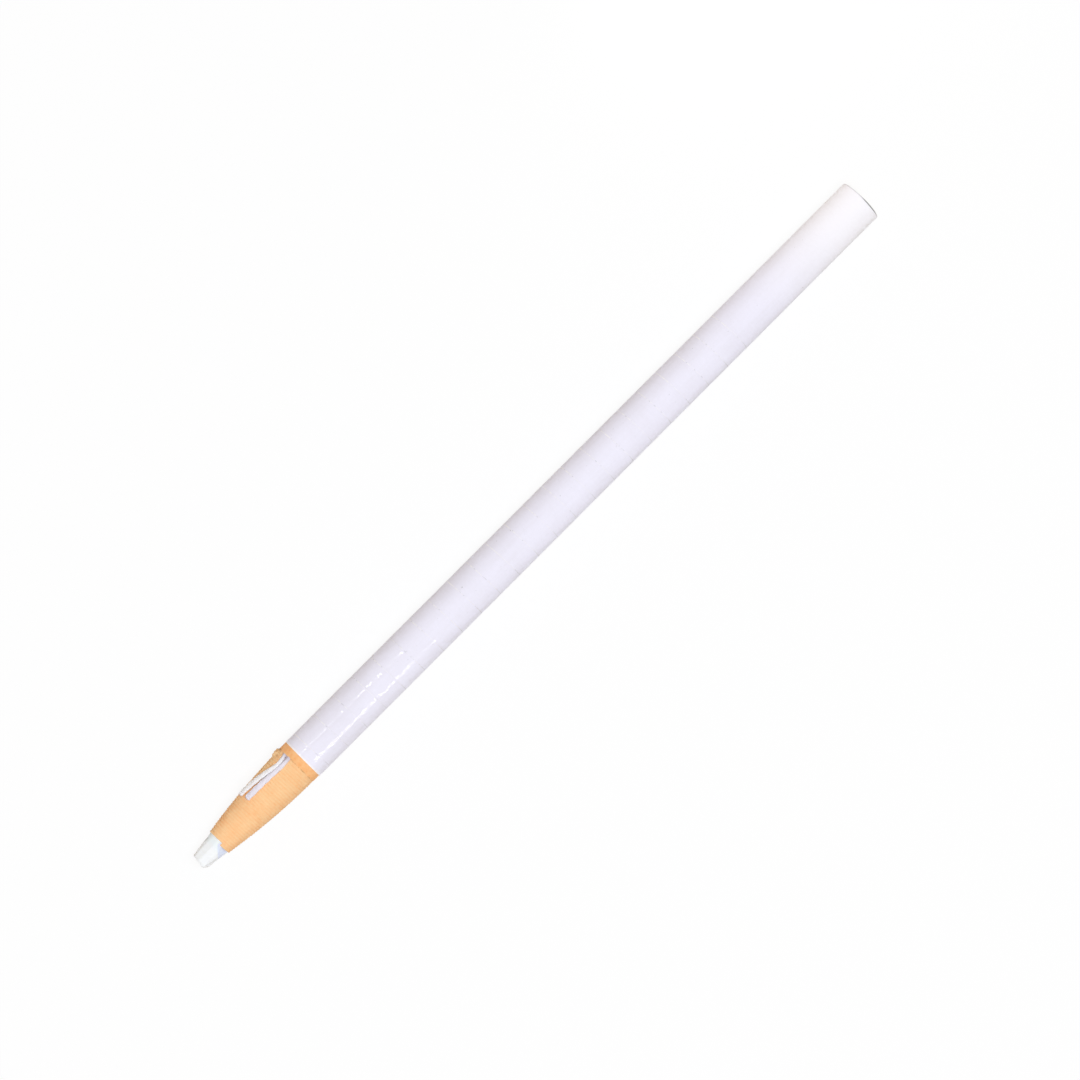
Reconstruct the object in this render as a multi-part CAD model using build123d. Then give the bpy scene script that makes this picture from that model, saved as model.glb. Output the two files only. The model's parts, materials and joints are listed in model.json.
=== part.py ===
from build123d import *
import os
from math import cos, degrees, radians, sin, tan

# China marker: a wax core in a paper jacket that is wound round it and scored into bands.
# A two-strand pull string lies under the jacket's outer turns and comes out at the nose.
# The marker lies along X on the plane Z = 0, with its writing tip towards -X. Sizes are in millimetres.

# Barrel, across the axis
BARREL_D = 8.4
CORE_D = 4.6
WRAPPER_T = 0.12
CORE_CLEARANCE = 0.08

# Lengths, from the writing tip to the butt
EXPOSED_WAX = 5.0
TAPER_LENGTH = 19.3
COLLAR_LENGTH = 1.5
NOSE_WRAPPER_LENGTH = 2.3
BAND_PITCH = 4.72
BAND_COUNT = 22
BUTT_LENGTH = 33.135
SCORE_WIDTH = 0.08
SCORE_SKEW = 2.7

# Writing tip: a blunt cone with flats worn and cut into it
TIP_FLAT_D = 3.2
CONE_LENGTH = 5.6
FLAT_COUNT = 5
FLAT_DEPTH = 0.22
FLAT_REACH = 3.6
FIRST_FLAT_ANGLE = 20.0

# Nose winding: stepped turn edges, with the first edge running round as a helix
TURN_COUNT = 36
FRONT_WALL = 0.12
COLLAR_STEP = 0.05
EDGE_PITCH = 0.55
EDGE_SECTORS = 12
EDGE_START_ANGLE = 101.0

# Pull string: two strands side by side in one slot, angles from the top towards +Y
STRAND_D = 0.8
STRAND_GAP = 0.06
STRING_COVER = 0.12
STRING_CLEARANCE = 0.07
STRING_ANGLE = 35.5
PIVOT_AHEAD = 1.0
TAIL_LENGTH = 9.4
NEAR_TAIL_DRIFT = 1.5
FAR_TAIL_DRIFT = 16.0
LIFT_ROOM = 2.0

# Worked out from the sizes above
BARREL_R = BARREL_D / 2
CORE_R = CORE_D / 2
WINDING_R = BARREL_R - WRAPPER_T
BORE_R = CORE_R + CORE_CLEARANCE
TAPER_START = EXPOSED_WAX + EDGE_PITCH
MOUTH = EXPOSED_WAX + TAPER_LENGTH
WRAPPER_START = MOUTH + COLLAR_LENGTH
FIRST_SCORE = WRAPPER_START + NOSE_WRAPPER_LENGTH
LAST_SCORE = FIRST_SCORE + BAND_COUNT * BAND_PITCH
LENGTH = LAST_SCORE + BUTT_LENGTH
AXIS_Z = BARREL_R
STRAND_R = STRAND_D / 2
SLOT_R = STRAND_R + STRING_CLEARANCE
STRING_R = WINDING_R - STRING_COVER - SLOT_R
STRAND_SPACING = STRAND_D + STRAND_GAP
PIVOT = MOUTH - PIVOT_AHEAD
FRONT_R = BORE_R + FRONT_WALL
TAPER_END_R = WINDING_R - COLLAR_STEP


def x_at(from_tip):
    """X of a place along the marker, given its distance from the writing tip."""
    return from_tip - LENGTH / 2


def on_axis(shape):
    """Lifts a shape made round the X axis to the height of the marker's axis."""
    return Pos(0, 0, AXIS_Z) * shape


def around(from_tip, radius, angle):
    """A point round the axis, its angle counted from the top towards +Y."""
    turn = radians(angle)
    return Vector(x_at(from_tip), radius * sin(turn), AXIS_Z + radius * cos(turn))


def strand_place(from_tip, side):
    """The centre of one strand in the slot: side is -1 for the near strand and 1 for the far one."""
    across = around(from_tip, STRAND_SPACING / 2, STRING_ANGLE + 90 * side) - around(from_tip, 0, 0)
    return around(from_tip, STRING_R, STRING_ANGLE) + across


def turned(profile_points, arc=360.0):
    """A solid turned round the marker's axis from points of (distance from tip, radius)."""
    outline = Polyline([(x_at(d), r) for d, r in profile_points], close=True)
    return revolve(make_face(outline), Axis.X, revolution_arc=arc)


def tube(start, end, outer_r, inner_r):
    """A plain ring of the jacket between two distances from the tip."""
    return on_axis(turned([(start, inner_r), (start, outer_r), (end, outer_r), (end, inner_r)]))


def before_score(from_tip):
    """Everything ahead of a score line, which runs a little out of square with the axis."""
    room = Box(2 * LENGTH, 4 * BARREL_D, 4 * BARREL_D, align=(Align.MAX, Align.CENTER, Align.CENTER))
    return Pos(x_at(from_tip), 0, AXIS_Z) * Rot(0, 0, SCORE_SKEW) * room


def between_scores(shape, start, end):
    """The share of a shape between two score lines, less half a score's width at each."""
    ahead = before_score(start + SCORE_WIDTH / 2)
    return (shape & before_score(end - SCORE_WIDTH / 2)) - ahead


def taper_radius(from_tip):
    """Radius of the nose: a parabola that leaves the collar level and drops towards the tip."""
    share = (MOUTH - from_tip) / (MOUTH - TAPER_START)
    return TAPER_END_R - (TAPER_END_R - FRONT_R) * share**2


def string_slot(start, end):
    """The slot through the winding that both strands lie in."""
    slot = SlotCenterToCenter(STRAND_SPACING, 2 * SLOT_R)
    place = around(start, STRING_R, STRING_ANGLE)
    return Location(place) * Rot(-STRING_ANGLE, 0, 0) * extrude(Plane.YZ * slot, end - start)


def band_winding(start, end):
    """Wound kraft paper with the string's slot through it."""
    return tube(start, end, WINDING_R, BORE_R) - string_slot(start, end)


def band_wrapper(start, end):
    """The thin white outer paper."""
    return tube(start, end, BARREL_R, WINDING_R)


def wax_core():
    """The wax rod, coned at the tip, with flats cut round the cone."""
    rod = turned(
        [(0, 0), (0, TIP_FLAT_D / 2), (CONE_LENGTH, CORE_R), (LENGTH, CORE_R), (LENGTH, 0)]
    )
    for i in range(FLAT_COUNT):
        rod -= Rot(FIRST_FLAT_ANGLE + i * 360 / FLAT_COUNT, 0, 0) * tip_flat()
    return on_axis(rod)


def tip_flat():
    """A wedge that cuts one flat: deepest at the tip and running out up the cone."""
    slope = (CORE_R - TIP_FLAT_D / 2) / CONE_LENGTH
    reach_r = TIP_FLAT_D / 2 + slope * FLAT_REACH
    depth_r = TIP_FLAT_D / 2 - FLAT_DEPTH
    beyond = CORE_R + FLAT_DEPTH
    side = Polyline(
        [(x_at(0), depth_r), (x_at(FLAT_REACH), reach_r), (x_at(FLAT_REACH), beyond), (x_at(0), beyond)],
        close=True,
    )
    return extrude(make_face(side), CORE_R, both=True)


def tail_points(side, drift):
    """Where one strand's free tail lies: out of its groove, then on the taper, drifting round it."""
    root_angle = STRING_ANGLE + side * degrees(STRAND_SPACING / STRING_R / 2)
    middle = PIVOT - TAIL_LENGTH / 2
    end = PIVOT - TAIL_LENGTH
    return [
        strand_place(PIVOT, side),
        around(middle, taper_radius(middle) + STRAND_R / 2, root_angle + drift / 4),
        around(end, taper_radius(end) + SLOT_R, root_angle + drift),
    ]


def tail_path(points):
    """One strand's centre line: two straight lengths and one easy bend."""
    first, second = points[1] - points[0], points[2] - points[1]
    turn = radians(first.get_angle(second))
    radius = 0.45 * min(first.length, second.length) / tan(turn / 2)
    print(f"strand tail: bend radius {radius:.1f} mm, length {first.length + second.length:.2f} mm")
    return FilletPolyline(points, radius=radius)


def strand_tail(points):
    """One strand's free tail: a tube with a ball at its root."""
    root = Plane(origin=points[0], z_dir=points[1] - points[0])
    return sweep(root * Circle(STRAND_R), tail_path(points)) + root * Sphere(STRAND_R, -90, 0, align=None)


def tail_groove(points):
    """What the nose loses so that a strand can lie in it and be lifted straight out."""
    root = points[0]
    across = around(0, 1, STRING_ANGLE - 90) - around(0, 0, STRING_ANGLE)
    channel = Circle(SLOT_R) + Pos(0, LIFT_ROOM / 2) * Rectangle(2 * SLOT_R, LIFT_ROOM)
    groove = sweep(Plane(origin=root, x_dir=across, z_dir=points[1] - root) * channel, tail_path(points))
    ahead = root - Vector(SLOT_R, 0, 0)
    to_mouth = Plane(origin=ahead, x_dir=across, z_dir=(-1, 0, 0)) * channel
    return groove + extrude(to_mouth, -PIVOT_AHEAD - SLOT_R)


def nose_winding(tails):
    """The tapered nose: stepped turns, a helical front edge, a collar and the string's grooves."""
    pitch = (MOUTH - TAPER_START) / TURN_COUNT
    profile = [(TAPER_START, BORE_R)]
    for i in range(TURN_COUNT):
        front = TAPER_START + i * pitch
        radius = taper_radius(front + pitch / 2)
        profile += [(front, radius), (front + pitch, radius)]
    end = FIRST_SCORE + BAND_PITCH
    profile += [(MOUTH, WINDING_R), (end, WINDING_R), (end, BORE_R)]
    nose = turned(profile)
    for i in range(EDGE_SECTORS):
        front = EXPOSED_WAX + EDGE_PITCH * i / EDGE_SECTORS
        arc = 360 / EDGE_SECTORS
        ring = turned(
            [(front, BORE_R), (front, FRONT_R), (TAPER_START, FRONT_R), (TAPER_START, BORE_R)], arc
        )
        nose += Rot(EDGE_START_ANGLE + i * arc, 0, 0) * ring
    nose = on_axis(nose) - string_slot(MOUTH, end)
    for points in tails:
        nose -= tail_groove(points)
    return nose & before_score(FIRST_SCORE - SCORE_WIDTH / 2)


def strand_run(side):
    """One strand's hidden run, straight from a rounded end at the slot's mouth to the butt."""
    mouth = Plane(origin=strand_place(MOUTH, side), z_dir=(1, 0, 0))
    run = extrude(mouth * Circle(STRAND_R), LENGTH - MOUTH)
    return run + mouth * Sphere(STRAND_R, -90, 0, align=None)


def build():
    """Every piece of the marker by name."""
    near_tail = tail_points(-1, NEAR_TAIL_DRIFT)
    far_tail = tail_points(1, FAR_TAIL_DRIFT)
    winding = band_winding(WRAPPER_START, LENGTH)
    wrapper = band_wrapper(WRAPPER_START, LENGTH)
    pieces = {
        "wax_core": wax_core(),
        "nose_winding": nose_winding([near_tail, far_tail]),
        "nose_wrapper": wrapper & before_score(FIRST_SCORE - SCORE_WIDTH / 2),
        "butt_winding": winding - before_score(LAST_SCORE + SCORE_WIDTH / 2),
        "butt_wrapper": wrapper - before_score(LAST_SCORE + SCORE_WIDTH / 2),
        "near_strand_run": strand_run(-1),
        "far_strand_run": strand_run(1),
        "near_strand_tail": strand_tail(near_tail),
        "far_strand_tail": strand_tail(far_tail),
    }
    for i in range(BAND_COUNT):
        start = FIRST_SCORE + i * BAND_PITCH
        end = start + BAND_PITCH
        pieces[f"peel_band_{i + 1:02d}"] = between_scores(winding, start, end)
        pieces[f"band_wrapper_{i + 1:02d}"] = between_scores(wrapper, start, end)
    return pieces


os.makedirs("parts", exist_ok=True)
for name, shape in build().items():
    export_step(shape, f"parts/{name}.step")
print(f"marker length {LENGTH:.2f} mm, barrel {BARREL_D:.2f} mm")
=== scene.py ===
"""Looks of a paper-wrapped china marker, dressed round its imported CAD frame.

The marker lies along X with its writing tip towards -X. Shapes are worked out in millimetres as arrays of
(distance from tip, radius, angle), the angle counted from the top towards +Y, and put into meshes in metres.
"""

import json
import math

import bmesh
import bpy
import numpy as np
from mathutils import Matrix, Vector


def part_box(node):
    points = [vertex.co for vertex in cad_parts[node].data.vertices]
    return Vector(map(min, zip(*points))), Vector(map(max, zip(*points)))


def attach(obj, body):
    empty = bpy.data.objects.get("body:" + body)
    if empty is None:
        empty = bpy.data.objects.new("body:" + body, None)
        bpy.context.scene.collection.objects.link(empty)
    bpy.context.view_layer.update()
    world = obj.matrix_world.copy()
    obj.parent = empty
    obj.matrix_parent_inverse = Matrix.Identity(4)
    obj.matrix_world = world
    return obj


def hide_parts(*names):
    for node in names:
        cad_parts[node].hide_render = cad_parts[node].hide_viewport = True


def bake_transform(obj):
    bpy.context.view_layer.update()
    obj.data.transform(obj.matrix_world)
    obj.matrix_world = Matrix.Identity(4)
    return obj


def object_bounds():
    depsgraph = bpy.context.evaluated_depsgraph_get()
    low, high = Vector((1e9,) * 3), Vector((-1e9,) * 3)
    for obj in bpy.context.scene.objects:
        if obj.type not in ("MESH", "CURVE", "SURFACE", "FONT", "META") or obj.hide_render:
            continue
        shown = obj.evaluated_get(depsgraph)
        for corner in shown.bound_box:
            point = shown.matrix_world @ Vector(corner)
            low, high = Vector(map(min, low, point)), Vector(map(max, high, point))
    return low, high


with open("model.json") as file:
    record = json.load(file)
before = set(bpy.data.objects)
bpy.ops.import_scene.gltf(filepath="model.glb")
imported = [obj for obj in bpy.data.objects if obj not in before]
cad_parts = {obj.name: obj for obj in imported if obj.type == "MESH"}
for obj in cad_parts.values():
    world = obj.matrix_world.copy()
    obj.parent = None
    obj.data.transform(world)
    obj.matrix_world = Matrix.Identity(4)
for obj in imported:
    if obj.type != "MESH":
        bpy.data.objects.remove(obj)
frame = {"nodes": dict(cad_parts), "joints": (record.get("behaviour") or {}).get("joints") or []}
CAD_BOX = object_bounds()

bl_info = {
    "name": "China Marker",
    "version": (1, 0, 0),
    "blender": (4, 5, 0),
    "location": "View3D > Sidebar > Marker",
    "description": "Wax core, wound paper nose, scored wrapper bands and pull string of a china marker",
    "category": "Object",
}

MM = 0.001
FULL_TURN = 2 * np.pi
TINY = 1e-6
# Points nearer than this, in millimetres, are welded.
WELD = 0.0005
LAY_MAP = "Lay"

TIP_X = CAD_BOX[0].x / MM
LENGTH = CAD_BOX[1].x / MM - TIP_X
BARREL_R = (CAD_BOX[1].z - CAD_BOX[0].z) / MM / 2
AXIS_Z = CAD_BOX[0].z / MM + BARREL_R


def span(node):
    """Distances from the tip at which a CAD node starts and ends."""
    low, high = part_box(node)
    return low.x / MM - TIP_X, high.x / MM - TIP_X


def half_height(node):
    """Radius of a round CAD node."""
    low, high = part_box(node)
    return (high.z - low.z) / MM / 2


BANDS = sorted(name[-2:] for name in frame["nodes"] if name.startswith("band_wrapper_"))
CORE_R = half_height("wax_core")
WINDING_R = half_height("butt_winding")
PAPER_START = span("nose_winding")[0]
WRAPPER_START = span("nose_wrapper")[0]
FIRST_SCORE = (span("nose_wrapper")[1] + span(f"band_wrapper_{BANDS[0]}")[0]) / 2
LAST_SCORE = (span(f"band_wrapper_{BANDS[-1]}")[1] + span("butt_wrapper")[0]) / 2
BAND_PITCH = (LAST_SCORE - FIRST_SCORE) / len(BANDS)
LIFT = next(joint for joint in frame["joints"] if joint["name"] == "string_lift")
PIVOT = LIFT["pos_m"][0] / MM - TIP_X
SLOT_Y, SLOT_UP = LIFT["pos_m"][1] / MM, LIFT["pos_m"][2] / MM - AXIS_Z
SLOT_R = math.hypot(SLOT_Y, SLOT_UP)
SLOT_ANGLE = math.atan2(SLOT_Y, SLOT_UP)


def linear(display):
    """Scene value of a display value from 0 to 255."""
    c = display / 255
    return c / 12.92 if c <= 0.04045 else ((c + 0.055) / 1.055) ** 2.4


def size_prop(name, description, millimetres):
    """A length that the user can change, shown in scene units."""
    return bpy.props.FloatProperty(
        name=name, description=description, default=millimetres * MM, unit="LENGTH", precision=5
    )


def angle_prop(name, description, degrees):
    """An angle that the user can change."""
    return bpy.props.FloatProperty(
        name=name, description=description, default=math.radians(degrees), subtype="ANGLE"
    )


def number_prop(name, description, default):
    """A plain number that the user can change."""
    return bpy.props.FloatProperty(name=name, description=description, default=default, min=0.0)


def colour_prop(name, description, *display):
    """A colour that the user can change, given in display values from 0 to 255."""
    default = tuple(linear(c) for c in display)
    return bpy.props.FloatVectorProperty(
        name=name, description=description, default=default, min=0.0, max=1.0, size=3, subtype="COLOR"
    )


class MarkerSizes(bpy.types.PropertyGroup):
    """Lengths of the marker's own details; its outline comes from the frame."""

    taper: size_prop("Taper", "Length of the nose from the first paper edge to the collar", 19.3)
    bore: size_prop("Bore", "Radius inside the wound paper", 2.38)
    front_wall: size_prop("Front wall", "Thickness of the paper at the tip", 0.12)
    collar_step: size_prop("Collar step", "How far the collar stands above the end of the taper", 0.05)
    turn_crown: size_prop("Turn crown", "How far each paper turn lifts at its front edge", 0.034)
    lip: size_prop("Lip", "How far the torn paper stands up beside the string", 0.42)
    score_gap: size_prop("Score gap", "Width of the open cut between two bands", 0.006)
    score_roll: size_prop("Score roll", "Depth to which the wrapper is pressed in along a score", 0.022)
    score_skew: angle_prop("Score skew", "Angle by which the score lines run out of square", 2.7)
    strand: size_prop("Strand", "Radius of one strand of the pull string", 0.4)
    strand_lay: size_prop("Strand lay", "Length in which a strand's plies twist once round", 5.0)
    turns: bpy.props.IntProperty(
        name="Turns", description="Paper turns that show on the taper", default=36, min=4
    )


class MarkerColours(bpy.types.PropertyGroup):
    """Colours of the marker's finishes."""

    kraft: colour_prop("Kraft", "Wound paper on the nose", 255, 218, 168)
    kraft_shade: colour_prop("Kraft shade", "Paper edges and worn places", 250, 166, 92)
    kraft_collar: colour_prop("Collar", "The last bare turn beside the wrapper", 255, 193, 133)
    # Painted light: a paler kraft laid over the paper's fold beside the string.
    kraft_painted_light: colour_prop("Browned kraft", "Paper beside the string", 255, 229.8, 182.4)
    # Stain spots by the string, darker marks on the lip, and painted shade along the collar's front edge.
    kraft_stain_and_shade: colour_prop("Kraft stain", "Spots by the string and on the collar's edge", 155.5, 108, 63.2)
    wrapper: colour_prop("Wrapper", "White outer paper", 243, 241, 254)
    # Also painted light: the wrapper whitens towards the butt in this colour.
    wrapper_edge_and_rear_light: colour_prop("Wrapper edge", "Bare white of cut edges and of the butt", 254, 252, 255)
    smudge: colour_prop("Smudge", "Handling marks on the wrapper", 226, 222, 231)
    # Dirt specks, and painted shade: the dark line round the butt's rim is laid in this colour.
    grime_and_shade: colour_prop("Grime", "Dirt rubbed into the butt's rim and specks", 92, 92, 88)
    wax: colour_prop("Wax", "Writing core", 252, 254, 255)
    wax_shade: colour_prop("Wax shade", "Clean wax that the paper covered", 243, 252, 255)
    # Painted shade: the cut facet beside the paper is darkened towards blue in this colour.
    wax_painted_shade: colour_prop("Wax cut", "Cut facet of the core beside the paper", 220, 228, 255)
    # Painted light: the near strand's cotton is a shaded copy of the far strand's, which is the lit one.
    near_string: colour_prop("Near strand", "Cotton of the strand nearer the top", 246, 241, 252)
    far_string: colour_prop("Far strand", "Cotton of the strand at the side", 255, 253, 253)
    # Painted shade: between the fibres, near each strand's root, and on the paper in the slot.
    string_shade: colour_prop("String shade", "Between the string's fibres", 212, 205, 220)


class MarkerStage(bpy.types.PropertyGroup):
    """Camera and light."""

    camera_height: size_prop("Camera height", "Height of the camera above the barrel's axis", 800.0)
    camera_over: size_prop("Camera over", "Distance from the tip of the point under the camera", 37.5)
    aim_along: size_prop("Aim along", "Distance from the tip of the point that the camera faces", 82.39)
    aim_side: size_prop("Aim side", "How far to the side of the barrel the camera faces", -2.33)
    camera_roll: angle_prop("Camera roll", "Turn of the camera from the frame's diagonal", -0.085)
    lens: number_prop("Lens", "Focal length in millimetres", 151.85)
    key_power: number_prop("Key", "Power of the main light in watts", 11.9)
    key_colour: colour_prop("Key colour", "Main light", 224.6, 236.8, 251.6)
    glint_power: number_prop("Glint", "Power of the nearer of two lights that only glint, in watts", 0.36)
    rear_power: number_prop("Rear fill", "Power of the small light beside the butt in watts", 0.007)
    rear_colour: colour_prop("Rear colour", "Small light beside the butt", 255, 248.2, 245.8)
    sky: number_prop("Sky", "Strength of the light from all round", 0.4)
    sky_colour: colour_prop("Sky colour", "Light from all round", 255, 232, 200)
    floor_glow: number_prop("Floor glow", "Share of plain white in what the camera sees of the floor", 0.9)


class Value:
    """A shader socket holding a number. Python's operators on it add Math nodes."""

    def __init__(self, finish, socket):
        self.finish = finish
        self.socket = socket

    def math(self, operation, *others):
        """One Math node on this value and the others."""
        inputs = dict(enumerate((self, *others)))
        return self.finish.value("ShaderNodeMath", {"operation": operation}, inputs)

    def __add__(self, other):
        return self.math("ADD", other)

    def __sub__(self, other):
        return self.math("SUBTRACT", other)

    def __rsub__(self, other):
        return self.finish.value("ShaderNodeMath", {"operation": "SUBTRACT"}, {0: other, 1: self})

    def __mul__(self, other):
        return self.math("MULTIPLY", other)

    def __truediv__(self, other):
        return self.math("DIVIDE", other)

    def __rtruediv__(self, other):
        return self.finish.value("ShaderNodeMath", {"operation": "DIVIDE"}, {0: other, 1: self})

    def __abs__(self):
        return self.math("ABSOLUTE")

    __radd__ = __add__
    __rmul__ = __mul__

    def fract(self):
        """What is left after the whole number is taken off."""
        return self.math("FRACT")

    def step(self, low, high):
        """0 below low, 1 above high, smooth between; high below low turns it round."""
        least, most = (0.0, 1.0) if high >= low else (1.0, 0.0)
        ends = {"From Min": min(low, high), "From Max": max(low, high), "To Min": least, "To Max": most}
        settings = {"interpolation_type": "SMOOTHSTEP"}
        return self.finish.value("ShaderNodeMapRange", settings, {"Value": self, **ends})


class Finish:
    """A material or a world under construction: one method makes nodes, the rest name common uses of it."""

    def __init__(self, name, kind="materials"):
        self.block = getattr(bpy.data, kind).new(name)
        self.block.use_nodes = True
        self.tree = self.block.node_tree
        self.tree.nodes.clear()
        self.places = {}

    def node(self, kind, settings=None, inputs=None):
        """A node with its settings made first, then its sockets set or linked by name or number."""
        node = self.tree.nodes.new(kind)
        for key, setting in (settings or {}).items():
            setattr(node, key, setting)
        for key, given in (inputs or {}).items():
            source = given.socket if isinstance(given, Value) else given
            if isinstance(source, bpy.types.NodeSocket):
                self.tree.links.new(source, node.inputs[key])
            else:
                node.inputs[key].default_value = source
        return node

    def value(self, kind, settings=None, inputs=None, output=0):
        """A node's number output as a Value."""
        return Value(self, self.node(kind, settings, inputs).outputs[output])

    def vector(self, operation, first, second):
        """One Vector Math node's output."""
        key = "Scale" if operation == "SCALE" else 1
        return self.node("ShaderNodeVectorMath", {"operation": operation}, {0: first, key: second}).outputs[0]

    def millimetres(self):
        """Object coordinates in millimetres, as a vector socket."""
        if "mm" not in self.places:
            coords = self.node("ShaderNodeTexCoord").outputs["Object"]
            self.places["mm"] = self.vector("SCALE", coords, 1 / MM)
        return self.places["mm"]

    def round_axis(self):
        """Distance from tip, radius, angle from the top and sideways place, all from object coordinates."""
        if "round" not in self.places:
            parts = self.node("ShaderNodeSeparateXYZ", None, {0: self.millimetres()})
            x, y, z = (Value(self, out) for out in parts.outputs)
            up = z - AXIS_Z
            radius = (y * y + up * up).math("SQRT")
            self.places["round"] = (x - TIP_X, radius, y.math("ARCTAN2", up), y)
        return self.places["round"]

    def lay(self):
        """The piece's own map, along and across its turns or fibres, as a vector socket."""
        return self.node("ShaderNodeUVMap", {"uv_map": LAY_MAP}).outputs[0]

    def noise(self, stretch, detail=3.0, roughness=0.55, vector=None):
        """Fractal noise from about 0 to 1, its cycles per millimetre given along each axis."""
        place = self.vector("MULTIPLY", vector or self.millimetres(), stretch)
        inputs = {"Vector": place, "Scale": 1.0, "Detail": detail, "Roughness": roughness}
        return self.value("ShaderNodeTexNoise", None, inputs)

    def mix(self, factor, first, second):
        """A colour between two colours."""
        settings = {"data_type": "RGBA", "clamp_factor": True}
        return self.node("ShaderNodeMix", settings, {0: factor, 6: rgba(first), 7: rgba(second)}).outputs[2]

    def bump(self, height, distance):
        """A normal from a height whose unit stands for a distance in millimetres."""
        inputs = {"Height": height, "Distance": distance * MM}
        return self.node("ShaderNodeBump", None, inputs).outputs["Normal"]

    def shade(self, **inputs):
        """Ends the material in one Principled shader whose sockets are named with underscores for spaces."""
        named = {key.replace("_", " "): given for key, given in inputs.items()}
        surface = self.node("ShaderNodeBsdfPrincipled", None, named)
        self.node("ShaderNodeOutputMaterial", None, {"Surface": surface.outputs[0]})
        return self.block

    def seen(self):
        """1 for what the camera sees, straight or through gloss and glass, and 0 for other light."""
        rays = self.node("ShaderNodeLightPath").outputs
        kinds = ("Camera", "Glossy", "Transmission")
        camera, glossy, through = (Value(self, rays[f"Is {kind} Ray"]) for kind in kinds)
        return camera.math("MAXIMUM", glossy).math("MAXIMUM", through)


def rgba(colour):
    """A colour property with an alpha of 1; a socket is passed on as it is."""
    return colour if isinstance(colour, bpy.types.NodeSocket) else (*colour[:3], 1.0)


def polar(from_tip, radius, angle):
    """Points from arrays: x from the tip, y and z on a circle round the axis, angle from the top to +Y."""
    from_tip, radius, angle = np.broadcast_arrays(from_tip, radius, angle)
    return np.stack([TIP_X + from_tip, radius * np.sin(angle), AXIS_Z + radius * np.cos(angle)], axis=-1)


def turn_between(angle, other):
    """Smallest turn from one angle to another, from minus to plus half a turn."""
    return np.angle(np.exp(1j * (angle - other)))


def ease(value, low, high):
    """0 below low, 1 above high and a smooth step between."""
    t = np.clip((value - low) / (high - low), 0, 1)
    return t * t * (3 - 2 * t)


def wobble(seed, *waves):
    """A smooth function of an angle: a sum of seeded sines, each wave given as (count, height)."""
    phases = np.random.default_rng(seed).uniform(0, FULL_TURN, len(waves))
    return lambda angle: sum(h * np.sin(n * angle + p) for (n, h), p in zip(waves, phases))


def grid_faces(rows, cols, close_rows=False, close_cols=False):
    """Corner numbers of the quads of a grid stored row by row; a closed side joins last to first."""
    i = np.arange(rows if close_rows else rows - 1)[:, None]
    j = np.arange(cols if close_cols else cols - 1)[None, :]
    i_next, j_next = (i + 1) % rows, (j + 1) % cols
    quads = [i * cols + j, i_next * cols + j, i_next * cols + j_next, i * cols + j_next]
    return np.stack(quads, axis=-1).reshape(-1, 4)


def make_piece(name, patches, material, stands_for, uv=None, sharp=35.0):
    """One welded mesh object from patches of (points, faces).

    Its faces point outwards. An edge is smooth where its faces meet at less than the sharp angle, in degrees.
    """
    points = [p.reshape(-1, 3) for p, _ in patches]
    starts = np.cumsum([0] + [len(p) for p in points])
    numbered = [np.asarray(faces) + start for (_, faces), start in zip(patches, starts)]
    faces = [face for part in numbered for face in part.tolist()]
    mesh = bpy.data.meshes.new(name)
    mesh.from_pydata(np.concatenate(points) * MM, [], faces)
    if uv is not None:
        corners = np.zeros(len(mesh.loops), np.int32)
        mesh.loops.foreach_get("vertex_index", corners)
        layer = mesh.uv_layers.new(name=LAY_MAP)
        layer.data.foreach_set("uv", uv.reshape(-1, 2)[corners].astype(np.float32).ravel())
    welded = bmesh.new()
    welded.from_mesh(mesh)
    bmesh.ops.remove_doubles(welded, verts=welded.verts, dist=WELD * MM)
    bmesh.ops.dissolve_degenerate(welded, edges=welded.edges, dist=WELD * MM)
    bmesh.ops.recalc_face_normals(welded, faces=welded.faces)
    welded.to_mesh(mesh)
    welded.free()
    mesh.shade_smooth()
    mesh.set_sharp_from_angle(angle=math.radians(sharp))
    mesh.materials.append(material)
    piece = bpy.data.objects.new(name, mesh)
    bpy.context.scene.collection.objects.link(piece)
    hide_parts(stands_for)
    return piece


# Pull string: each strand's route as (distance from tip, height above the taper, angle in degrees). The first
# SLOT_POINTS lie in the slot, so their height is a radius.
SLOT_POINTS = 2
STRAND_ROUTES = {
    "near": (
        (24.9, SLOT_R + 0.14, 27.8),
        (23.5, SLOT_R + 0.38, 25.6),
        (21.9, 0.14, 23.8),
        (19.6, 0.3, 26.4),
        (16.8, 0.34, 29.4),
        (14.2, 0.33, 30.4),
    ),
    "far": (
        (24.9, SLOT_R + 0.12, 50.5),
        (23.6, SLOT_R + 0.3, 42.0),
        (22.0, 0.08, 34.2),
        (20.0, 0.24, 40.6),
        (18.0, 0.33, 47.4),
        (15.9, 0.33, 52.8),
        (13.9, 0.33, 58.2),
    ),
}
# Width and height of each strand at its root and at its free end, as shares of a round strand's.
STRAND_SPREAD = {"near": ((1.02, 1.0), (1.52, 0.84)), "far": ((0.9, 0.95), (1.55, 0.84))}
# Distances from the tip between which a strand spreads.
STRAND_LOOSENS = (23.5, 16.5)
ROUTE_STEPS = 24

# Gaps in the paper beside the strands: distances from the tip between which each opens, and how wide it gets.
GAP_OPENS = (16.5, 20.0)
GAP_BETWEEN = 0.2
GAP_BEYOND = 0.13
MOUTH_OPENS = (20.5, 22.5)
MOUTH_BEYOND = 0.1
# How far the paper closes in under the near strand, how far a groove runs on past its strand's end, and its
# least depth as a share of half the strand's height.
HUG = 0.03
GROOVE_AHEAD = 0.2
GROOVE_LEAST = 0.2

# Torn lip beside the string and the fold that leads to it: angles from the top, lengths in millimetres.
LIP_ANGLE = math.radians(80.0)
LIP_ROUND = math.radians(12.0)
LIP_AHEAD = 1.0
LIP_HALF_LENGTH = 0.86
FOLD_ROUND = math.radians(17.0)
FOLD_START = 17.0
FOLD_HEIGHT = 0.1


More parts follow.
